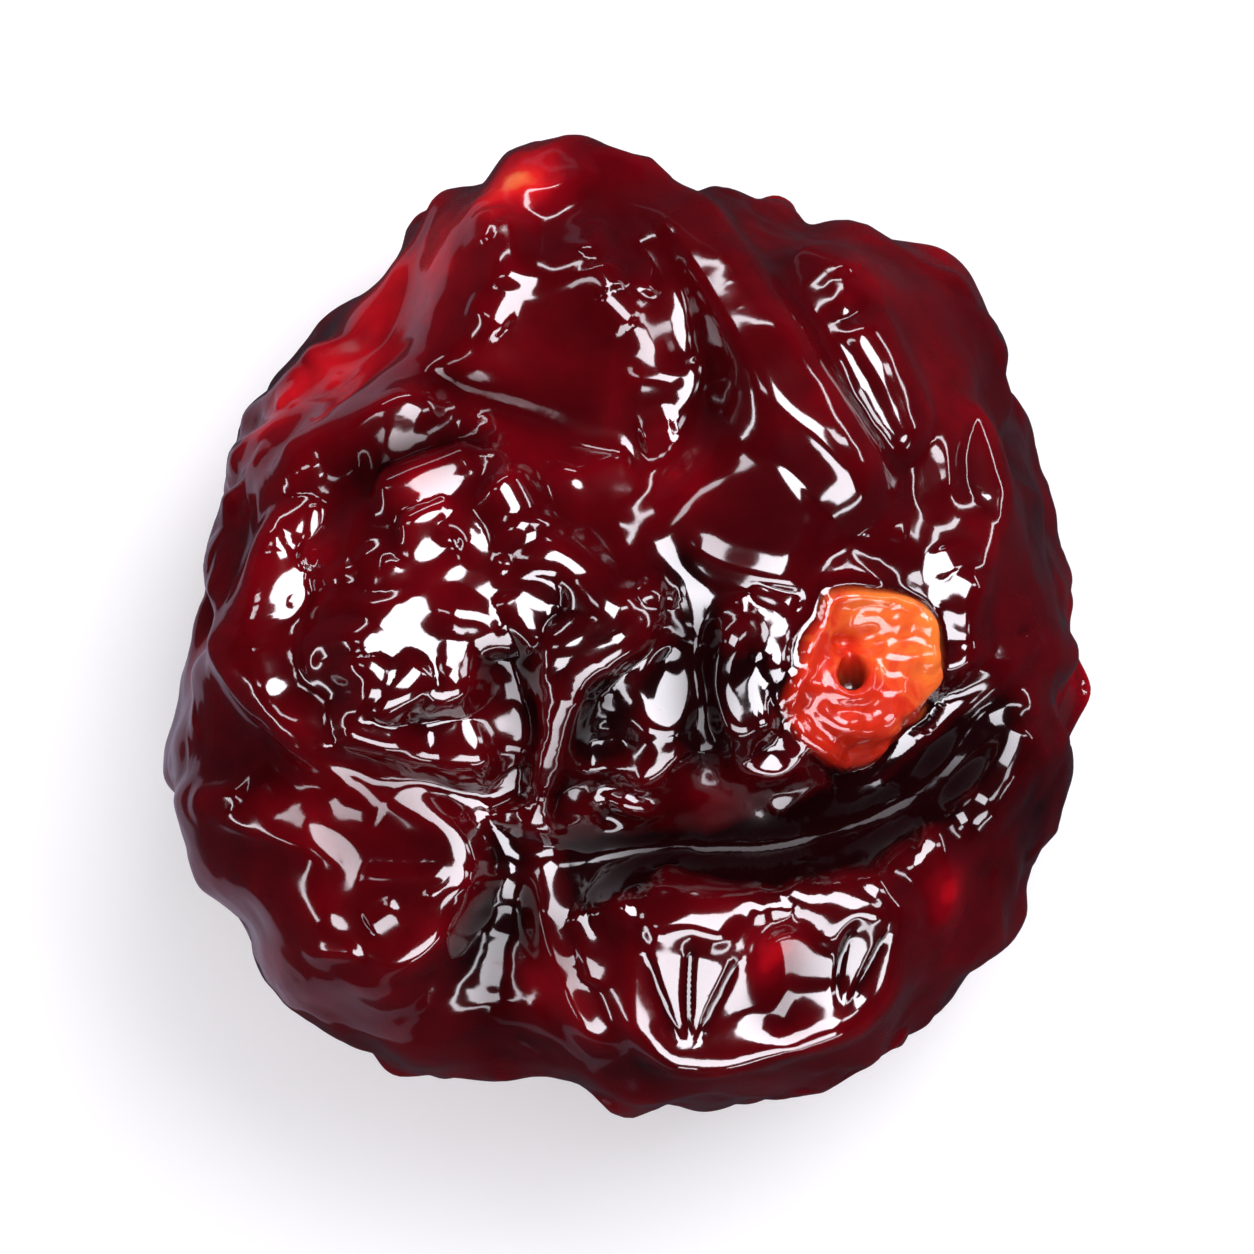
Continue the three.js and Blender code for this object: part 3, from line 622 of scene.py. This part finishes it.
def drawSmallWrinkles():
    draw = np.random.default_rng(smallWrinkles["seed"])
    drawn = []
    for _ in range(smallWrinkles["count"]):
        turn, lean = draw.uniform(0, 2 * math.pi, 2)
        away = smallWrinkles["within"] * math.sqrt(draw.random())
        middle = away * np.array([math.cos(turn), math.sin(turn)])
        way = np.array([math.cos(lean), math.sin(lean)])
        across = np.array([-way[1], way[0]]) * draw.uniform(-1, 1) * smallWrinkles["bendMm"]
        half = way * draw.uniform(*smallWrinkles["lengthMm"]) / 2
        drawn.append({"path": [middle - half, middle + across, middle + half],
                      "rise": draw.uniform(*smallWrinkles["rise"]),
                      "width": draw.uniform(*smallWrinkles["width"])})
    return drawn


# Creases without a place of their own, on the flanks and the underside

creases = {
    "count": 150,
    "seed": 5,
    "lengthMm": (1.2, 5.0),
    "shortened": (0.4, 1),  # of that length
    "rise": (0.06, 0.2),
    "width": (0.16, 0.3),
    "goingIn": 0.3,  # share of them that go in
    "highestMm": 7.8,
    "lowestMm": 0.7,
    "stepMm": 0.15,
    "wanderMm": 0.35,
    "wanderPace": (0.5, 1.6),
    "leanMost": 0.5,  # radians from straight up
    "fewestPoints": 4,  # a crease with fewer is left out
}


def strewCreases(tree):
    draw = np.random.default_rng(creases["seed"])
    middle = Vector((0, 0, studio["aimHeight"]))
    strewn = []
    while len(strewn) < creases["count"]:
        turn = draw.uniform(0, 2 * math.pi)
        height = draw.uniform(creases["lowestMm"], creases["highestMm"])
        lean = draw.uniform(-1, 1) * creases["leanMost"]
        length = draw.uniform(*creases["lengthMm"]) * draw.uniform(*creases["shortened"])
        rise = draw.uniform(*creases["rise"]) * (-1 if draw.random() < creases["goingIn"] else 1)
        width = draw.uniform(*creases["width"])
        phase, pace = draw.uniform(0, 2 * math.pi), draw.uniform(*creases["wanderPace"])
        route = []
        for along in np.arange(-length / 2, length / 2, creases["stepMm"]):
            z = height + along * math.cos(lean)
            side = along * math.sin(lean) + creases["wanderMm"] * math.sin(pace * along + phase)
            angle = turn + side / (cadBounds[1].x / mm)
            way = Vector((math.cos(angle), math.sin(angle), (z * mm - middle.z) / cadBounds[1].x))
            hit = tree.ray_cast(middle, way.normalized())[0]
            if hit and creases["lowestMm"] < hit.z / mm:
                route.append(hit / mm)
        if len(route) >= creases["fewestPoints"]:
            strewn.append({"route": np.array(route), "rise": rise, "width": width})
    return strewn


# The stalk scar: a squarish, fibrous collar with a small hole

scar = {
    "middle": (3.85, -0.85),
    "hole": (3.68, -0.78),
    # the rim's distance from the middle, in mm, at each bearing in degrees
    "rim": {17: 1.32, 51: 1.48, 83: 1.36, 113: 1.42, 128: 1.18, 168: 1.02, 195: 1.3, 222: 1.34, 259: 1.42,
            312: 0.95, 351: 1.12},
    "edgeMm": 0.09,
    "holeMm": 0.27,
    "holeFloor": 0.5,  # the hole's flat floor, as a share of its radius
    "holeLip": 1.25,  # and where its lip stands
    "holeDepth": 0.55,
    "lipMm": 0.12,
    "lipRise": 0.13,
    "troughDepth": 0.07,  # the skin goes in round the scar
    "raggedMm": 0.7,  # the size of the dents in its rim, and how deep they are
    "raggedness": 0.035,
    "lumpMm": 0.4,
    "lumpRise": 0.035,
    "lumpsFromHoleMm": (0.3, 0.6),
    "scarLightAcrossMm": 4.6,  # measured east plus north, from the painted shade where it is reddest to the painted light where it is lightest
    "dullness": 0.5,
    "seed": 8,
}


def scarPlan(places):  # distance from the scar's middle, and that of its rim on the same bearing
    east, north = (places[:, :2] - scar["middle"]).T
    bearing = np.degrees(np.arctan2(north, east)) % 360
    rim = np.interp(bearing, list(scar["rim"]), list(scar["rim"].values()), period=360)
    rim += sway(places, scar["raggedMm"], scar["seed"])[:, 0] * scar["raggedness"]
    return np.hypot(east, north), rim


def scarHeights(places):
    away, rim = scarPlan(places)
    top = places[:, 2] > studio["aimHeight"] / mm
    inside = ease(rim - away, -scar["edgeMm"], scar["edgeMm"]) * top
    toHole = np.linalg.norm(places[:, :2] - scar["hole"], axis=1)
    sunk = (1 - ease(toHole, scar["holeMm"] * scar["holeFloor"], scar["holeMm"])) * top
    lip = np.exp(-(((toHole - scar["holeMm"] * scar["holeLip"]) / scar["lipMm"]) ** 2)) * top
    brink = np.exp(-(((rim - away - scar["lipMm"]) / scar["lipMm"]) ** 2)) * top
    trough = np.exp(-(((away - rim - scar["lipMm"]) / scar["lipMm"]) ** 2)) * top
    lumps = sway(places, scar["lumpMm"], scar["seed"])[:, 1] * inside
    lumps *= ease(toHole, *scar["lumpsFromHoleMm"])
    heights = scar["lipRise"] * (lip + brink) * inside - scar["holeDepth"] * sunk + scar["lumpRise"] * lumps
    return heights, inside, sunk, trough * scar["troughDepth"]


def scarPaintedLight(places):  # painted light and shade: the scar is painted lighter at its upper right and redder at its lower left
    east, north = (places[:, :2] - scar["middle"]).T
    return np.clip(0.5 + (east + north) / scar["scarLightAcrossMm"], 0, 1)


# How thin and lit through the skin is, from 0, near black, over red to 1, orange: partly the skin's own depth
# of colour, partly painted light shining through it and painted shade in its cleft

thinnessAndPaintedLight = {
    "plain": 0.32,
    "patches": [
        # partly the skin's own tone, partly painted light: the brightest patches paint light shining through
        # the thin skin
        {"place": (-4.4, 4.8), "reach": 2.1, "level": 0.96},  # the flat flank on the upper left
        {"place": (-5.4, 3.7), "reach": 1.0, "level": 0.86},
        {"place": (-3.0, 5.6), "reach": 1.3, "level": 0.86},
        {"place": (-1.8, 4.1), "reach": 1.0, "level": 0.6},
        {"place": (-0.6, 4.0), "reach": 1.2, "level": 0.42},
        {"place": (-1.7, 7.0), "reach": 0.8, "level": 1.0},  # the upper edge
        {"place": (1.5, 3.4), "reach": 1.2, "level": 0.12},
        {"place": (0.7, 2.3), "reach": 0.9, "level": 0.6},
        {"place": (2.6, 2.0), "reach": 1.0, "level": 0.14},
        {"place": (5.0, 4.2), "reach": 1.3, "level": 0.5},
        {"place": (1.9, 6.2), "reach": 1.2, "level": 0.3},
        {"place": (6.6, 2.2), "reach": 1.4, "level": 0.1},
        {"place": (-3.6, -0.9), "reach": 1.5, "level": 0.17},  # the crumpled middle of the left lobe
        {"place": (-5.0, 1.3), "reach": 0.9, "level": 0.58},
        {"place": (-2.6, 1.0), "reach": 0.8, "level": 0.4},
        {"place": (-3.1, 2.2), "reach": 0.55, "level": 0.85},  # its dented facet
        {"place": (-0.9, 0.0), "reach": 1.0, "level": 0.06},
        {"place": (0.5, -1.2), "reach": 1.2, "level": 0.06},
        {"place": (2.4, -1.0), "reach": 0.8, "level": 0.08},
        {"place": (0.9, 0.9), "reach": 0.6, "level": 0.1},
        {"place": (1.4, -2.9), "reach": 0.7, "level": 0.6},
        {"place": (0.5, -2.6), "reach": 0.6, "level": 0.4},
        # painted shade: the cleft and its right end are painted near black
        {"place": (2.8, -3.7), "reach": 1.3, "level": 0.03},  # the cleft
        {"place": (-0.2, -3.9), "reach": 1.0, "level": 0.03},
        {"place": (5.4, -1.9), "reach": 1.3, "level": 0.08},
        {"place": (6.6, -3.2), "reach": 1.8, "level": 0.08},
        {"place": (-4.9, -2.7), "reach": 1.0, "level": 0.62},  # the lower left lobe
        {"place": (-5.2, -4.0), "reach": 0.9, "level": 0.22},
        {"place": (-3.4, -6.2), "reach": 1.3, "level": 0.3},
        {"place": (-2.3, -5.2), "reach": 0.8, "level": 0.06},
        {"place": (-1.2, -5.7), "reach": 0.6, "level": 0.6},
        {"place": (2.6, -5.2), "reach": 0.6, "level": 1.1},  # the saddle between the two blocks
        {"place": (1.2, -5.8), "reach": 0.8, "level": 0.2},
        {"place": (3.9, -5.5), "reach": 0.8, "level": 0.2},
        {"place": (5.1, -4.2), "reach": 0.5, "level": 0.7},
        {"place": (0.5, -7.2), "reach": 1.0, "level": 0.08},
        {"place": (-7.0, -0.5), "reach": 0.7, "level": 0.92},
    ],
    # strewn over the flanks and the underside
    "strewn": 40,
    "seed": 3,
    "strewnReach": (0.8, 2.2),
    "strewnLevel": (0.1, 0.72),
    "highestMm": 5.0,
}


# Places where the skin is duller than elsewhere, from 0 to 1

dullPlaces = [
    {"place": (-0.6, 4.2), "reach": 1.4, "level": 0.6},  # the hollow
    {"place": (-4.0, -3.3), "reach": 1.6, "level": 0.75},  # the lower left lobe
    {"place": (-1.3, -5.2), "reach": 1.2, "level": 0.8},  # under the pucker
    {"place": (1.4, -3.3), "reach": 1.3, "level": 0.97},  # the cleft
    {"place": (3.4, -3.0), "reach": 1.3, "level": 0.97},
    {"place": (1.6, 1.4), "reach": 0.9, "level": 0.5},
]


def dullnessOf(places, tree):
    dullness = np.zeros(len(places))
    for spot in dullPlaces:
        middle = layOnSkin(tree, np.array([spot["place"]]))[0]
        share = np.exp(-((np.linalg.norm(places - middle, axis=1) / spot["reach"]) ** 2))
        dullness = np.maximum(dullness, spot["level"] * share)
    return dullness


def thinnessAndPaintedLightOf(places, tree):
    spots = [(layOnSkin(tree, np.array([patch["place"]]))[0], patch["reach"], patch["level"])
             for patch in thinnessAndPaintedLight["patches"]]
    draw = np.random.default_rng(thinnessAndPaintedLight["seed"])
    low = places[places[:, 2] < thinnessAndPaintedLight["highestMm"]]
    for _ in range(thinnessAndPaintedLight["strewn"]):
        spot = low[draw.integers(len(low))]
        spots.append((spot, draw.uniform(*thinnessAndPaintedLight["strewnReach"]), draw.uniform(*thinnessAndPaintedLight["strewnLevel"])))
    level = np.full(len(places), thinnessAndPaintedLight["plain"])
    for spot, reach, target in spots:
        share = np.exp(-((np.linalg.norm(places - spot, axis=1) / reach) ** 2))
        level += (target - level) * share
    return level


def addAttribute(piece, name, values):
    attribute = piece.data.attributes.new(name, "FLOAT", "POINT")
    attribute.data.foreach_set("value", np.asarray(values, np.float32))


# The berry

berry = {
    "mergeGap": 1e-6,
    "finerAboveMm": 3.2,  # the upper side gets a finer mesh, and its folds the finest
    "finestAboveMm": 6.0,
    "softenRepeats": 10,
    "softenFactor": 0.5,
    "creaseMeshMm": 0.16,  # the mesh is finest about this near to a fold
    "creaseMeshShare": 0.66,
    "calmCrestMm": 0.3,  # the bowls between the folds fade out this near to a crest
    "normalRepeats": 14,
    "flatMm": (0.05, 0.9),  # the relief dies away towards the flat underside
    "deepMm": 0.3,  # a cleft as deep as this gets all of the painted shade and is all dull
    "deepPower": 0.45,  # below 1, so that the walls of the sunk swells get painted shade and are dull too
    "ridgeRepeats": 24,  # a ridge is where the skin stands out from its much softened form
    "ridgeMm": 0.12,
}


def copyOfSolid(node, name):
    piece = bpy.data.objects.new(name, node.data.copy())
    bpy.context.scene.collection.objects.link(piece)
    piece.data.materials.clear()
    pickOnly(piece)
    bpy.ops.mesh.customdata_custom_splitnormals_clear()
    bpy.ops.object.mode_set(mode="EDIT")
    bpy.ops.mesh.select_all(action="SELECT")
    bpy.ops.mesh.remove_doubles(threshold=berry["mergeGap"])
    bpy.ops.object.mode_set(mode="OBJECT")
    return piece


def evenFolds(folds, width):  # the same folds, all of one rise and width
    return [{**fold, "rise": math.copysign(1, fold["rise"]), "width": width, "round": width}
            for fold in folds]


def fitToSolid(places):  # the folds must not make the berry bigger, and it lies on the table
    low, high = (np.array(corner) / mm for corner in cadBounds)
    return (places - places.min(axis=0)) / np.ptp(places, axis=0) * (high - low) + low


def buildBerry():
    piece = copyOfSolid(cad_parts["dried_cranberry"], "cranberry")
    subdivideWhere(piece, np.ones(len(piece.data.vertices), bool), 1)
    subdivideWhere(piece, cornersOf(piece)[:, 2] > berry["finerAboveMm"] * mm, 1)
    applyModifier(piece, "SMOOTH", factor=berry["softenFactor"], iterations=berry["softenRepeats"])
    print("skin softened:", len(piece.data.polygons), "faces")

    tree = BVHTree.FromObject(piece, bpy.context.evaluated_depsgraph_get())
    laidFolds = crests + clefts + drawCrimps() + drawSmallWrinkles()
    folds = [{**fold, "route": layOnSkin(tree, smoothRoute(fold["path"], fineFolds["stepMm"]))}
             for fold in laidFolds]
    folds += strewCreases(tree)
    highest, deepest = foldHeights(cornersOf(piece) / mm, evenFolds(folds, berry["creaseMeshMm"]))
    sharp = np.maximum(highest, -deepest) > berry["creaseMeshShare"]
    sharp &= cornersOf(piece)[:, 2] > berry["finestAboveMm"] * mm
    subdivideWhere(piece, sharp, 1)
    print("mesh made finer along", len(folds), "folds:", len(piece.data.polygons), "faces")

    moveCorners(piece, shaped(cornersOf(piece) / mm, tree) * mm)
    tree = BVHTree.FromObject(piece, bpy.context.evaluated_depsgraph_get())
    for fold in folds[:len(laidFolds)]:
        fold["route"] = layOnSkin(tree, fold["route"][:, :2])
    places = cornersOf(piece) / mm
    edges = edgesOf(piece)
    normals = smoothNormals(piece, berry["normalRepeats"])
    scarRelief, onScar, inHole, trough = scarHeights(places)
    highest, deepest = foldHeights(places, folds[:len(laidFolds)])
    strewn = sum(foldHeights(places, folds[len(laidFolds):]))
    onCrest = foldHeights(places, evenFolds(folds[:len(crests)], berry["calmCrestMm"]))[0]
    onOutline = np.exp(-(((places[:, 2] - calming["outlineMm"]) / calming["outlineReachMm"]) ** 2))
    sag = sum(bowlHeights(places, bowl) for bowl in bowls)
    sag *= 1 - calming["onCrests"] * onCrest
    sag *= 1 - calming["onOutline"] * onOutline
    sag = (sag + strewn) * wrinkledShare(places, tree)
    # how deep in a cleft each place is; it paints shade into the skin's colour and dulls its gloss
    deep = np.maximum(-deepest / berry["deepMm"], sunkShare(places, tree) ** berry["deepPower"])
    deep = np.clip(deep, 0, 1)
    flat = ease(places[:, 2], *berry["flatMm"])
    relief = ((highest + deepest + sag - trough) * (1 - onScar) + scarRelief) * flat
    # the skin's own depth of colour, with painted light shining through and painted shade in the cleft
    thinAndPaintedLight = thinnessAndPaintedLightOf(places, tree)
    moved = fitToSolid(places + normals * relief[:, None])
    moveCorners(piece, moved * mm)
    # painted light and shade: the skin's colour is made lighter where it stands out and darker in its hollows
    ridge = ((moved - softened(moved, edges, berry["ridgeRepeats"])) * normals).sum(axis=1)
    ridge = np.clip(ridge / berry["ridgeMm"], -1, 1) * 0.5 + 0.5
    dull = np.maximum(np.maximum(deep, onScar * scar["dullness"]), dullnessOf(places, tree))
    looks = {"ridge": ridge, "thinAndPaintedLight": thinAndPaintedLight, "scar": onScar, "hole": inHole, "deep": deep, "dull": dull,
             "scarLight": scarPaintedLight(places)}
    for name, values in looks.items():
        addAttribute(piece, name, values)
    piece.data.materials.append(makeSkin())
    pickOnly(piece)
    bpy.ops.object.shade_smooth()
    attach(piece, "root")
    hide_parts("dried_cranberry")
    print("berry folded:", len(piece.data.polygons), "faces")


# Material

skinLook = {
    "depths": [  # from the dark, thick skin and painted shade to the thinnest skin and painted light through it
        (0.0, (0.0085, 0.0009, 0.0014, 1)),
        (0.35, (0.08, 0.0009, 0.0028, 1)),
        (0.6, (0.17, 0.0012, 0.0046, 1)),
        (0.8, (0.45, 0.004, 0.009, 1)),
        (0.92, (0.68, 0.014, 0.013, 1)),
        (1.0, (0.8, 0.13, 0.04, 1)),
    ],
    # the scar's own orange-red, from its painted shade to its painted light
    "scarColors": [
        (0.1, (0.44, 0.012, 0.004, 1)),
        (0.5, (0.64, 0.03, 0.01, 1)),
        (0.95, (0.92, 0.2, 0.03, 1)),
    ],
    # painted shade: the hole in the scar is painted near black
    "paintedHoleShade": (0.02, 0.004, 0.003, 1),
    "everywhere": {  # values of the shader that are the same all over the skin
        "IOR": 1.4,
        "Specular IOR Level": 0.05,
        "Coat Roughness": 0.09,
        "Subsurface Weight": 0.12,
        "Subsurface Radius": (1.0, 0.12, 0.08),
        "Subsurface Scale": 0.0008,
    },
    # how much of each goes into the skin's depth of colour; the ridge measure paints light on the ridges and
    # shade in the hollows, and sunk paints shade in the clefts
    "patchy": 0.6,
    "ridgeLightHollowShade": 0.35,
    "sunk": -0.25,
    "specked": 0.15,
    "fibrous": 0.9,  # and into the scar's painted light and shade
    "coat": 0.8,  # where the skin isn't dull
    "noiseUsed": (0.3, 0.7),  # the part of the noise that is stretched over the roughness
    "roughness": (0.06, 0.17),
    "scarRoughness": 0.12,
    "fineShare": 0.3,  # of the fine grain, added to the coarse one
    "grainStrength": 0.15,
    "grainDepth": 0.00006,
    "noises": {  # scale, detail and distortion
        "patches": (420, 3, 0.6),
        "specks": (2600, 4, 0),
        "fibres": (1500, 5, 1.5),
        "gloss": (700, 4, 0),
        "coarseGrain": (1800, 5, 0.4),
        "fineGrain": (6500, 3, 0),
    },
}


def makeSkin():
    material = bpy.data.materials.new("cranberrySkin")
    material.use_nodes = True
    tree = material.node_tree
    shader = tree.nodes["Principled BSDF"]
    for name, value in skinLook["everywhere"].items():
        shader.inputs[name].default_value = value

    def node(kind, **values):
        made = tree.nodes.new(kind)
        for name, value in values.items():
            if name in made.inputs:
                made.inputs[name].default_value = value
            else:
                setattr(made, name, value)
        return made

    def link(source, target):
        tree.links.new(source, target)

    def attribute(name):
        return node("ShaderNodeAttribute", attribute_name=name).outputs["Fac"]

    def combine(operation, a, b, clamp=False):
        made = node("ShaderNodeMath", operation=operation, use_clamp=clamp)
        for socket, value in zip(made.inputs, (a, b)):
            if isinstance(value, (int, float)):
                socket.default_value = value
            else:
                link(value, socket)
        return made.outputs[0]

    def ramp(factor, stops):
        made = node("ShaderNodeValToRGB")
        elements = made.color_ramp.elements
        while len(elements) < len(stops):
            elements.new(0.5)
        for element, (position, color) in zip(elements, stops):
            element.position, element.color = position, color
        link(factor, made.inputs["Fac"])
        return made.outputs["Color"]

    def mixColor(factor, a, b):  # inputs 6 and 7 and output 2 are the mix node's colours
        made = node("ShaderNodeMix", data_type="RGBA")
        link(factor, made.inputs["Factor"])
        for socket, value in zip((made.inputs[6], made.inputs[7]), (a, b)):
            if isinstance(value, tuple):
                socket.default_value = value
            else:
                link(value, socket)
        return made.outputs[2]

    objectPlace = node("ShaderNodeTexCoord").outputs["Object"]

    def mottle(name):
        scale, detail, distortion = skinLook["noises"][name]
        made = node("ShaderNodeTexNoise", Scale=scale, Detail=detail, Distortion=distortion)
        link(objectPlace, made.inputs["Vector"])
        return made.outputs["Fac"]

    def aboutMiddle(value, amount):  # how far it is from 0.5, times the amount
        return combine("MULTIPLY", combine("SUBTRACT", value, 0.5), amount)

    # painted light and shade, together with the skin's own depth of colour
    depth = combine("ADD", attribute("thinAndPaintedLight"), aboutMiddle(mottle("patches"), skinLook["patchy"]))
    # painted light on the ridges and painted shade in the hollows
    depth = combine("ADD", depth, aboutMiddle(attribute("ridge"), skinLook["ridgeLightHollowShade"]))
    # painted shade in the clefts and sunk swells
    depth = combine("ADD", depth, combine("MULTIPLY", attribute("deep"), skinLook["sunk"]))
    depth = combine("ADD", depth, aboutMiddle(mottle("specks"), skinLook["specked"]), clamp=True)
    skinColor = ramp(depth, skinLook["depths"])
    # the scar's painted light and shade, mottled with its fibres
    scarLightAndFibres = combine("ADD", attribute("scarLight"), aboutMiddle(mottle("fibres"), skinLook["fibrous"]))
    scarColor = ramp(scarLightAndFibres, skinLook["scarColors"])
    color = mixColor(attribute("scar"), skinColor, scarColor)
    # painted shade in the scar's hole
    color = mixColor(attribute("hole"), color, skinLook["paintedHoleShade"])
    link(color, shader.inputs["Base Color"])

    gloss = node("ShaderNodeMapRange")
    for which, values in {"From": skinLook["noiseUsed"], "To": skinLook["roughness"]}.items():
        gloss.inputs[which + " Min"].default_value, gloss.inputs[which + " Max"].default_value = values
    link(mottle("gloss"), gloss.inputs["Value"])
    onScar = combine("MULTIPLY", attribute("scar"), skinLook["scarRoughness"])
    link(combine("ADD", gloss.outputs["Result"], onScar), shader.inputs["Roughness"])
    shine = combine("SUBTRACT", 1, attribute("dull"))
    link(combine("MULTIPLY", shine, skinLook["coat"]), shader.inputs["Coat Weight"])

    fine = combine("MULTIPLY", mottle("fineGrain"), skinLook["fineShare"])
    bump = node("ShaderNodeBump", Strength=skinLook["grainStrength"], Distance=skinLook["grainDepth"])
    link(combine("ADD", mottle("coarseGrain"), fine), bump.inputs["Height"])
    link(bump.outputs["Normal"], shader.inputs["Normal"])
    return material


buildStudio()
buildBerry()
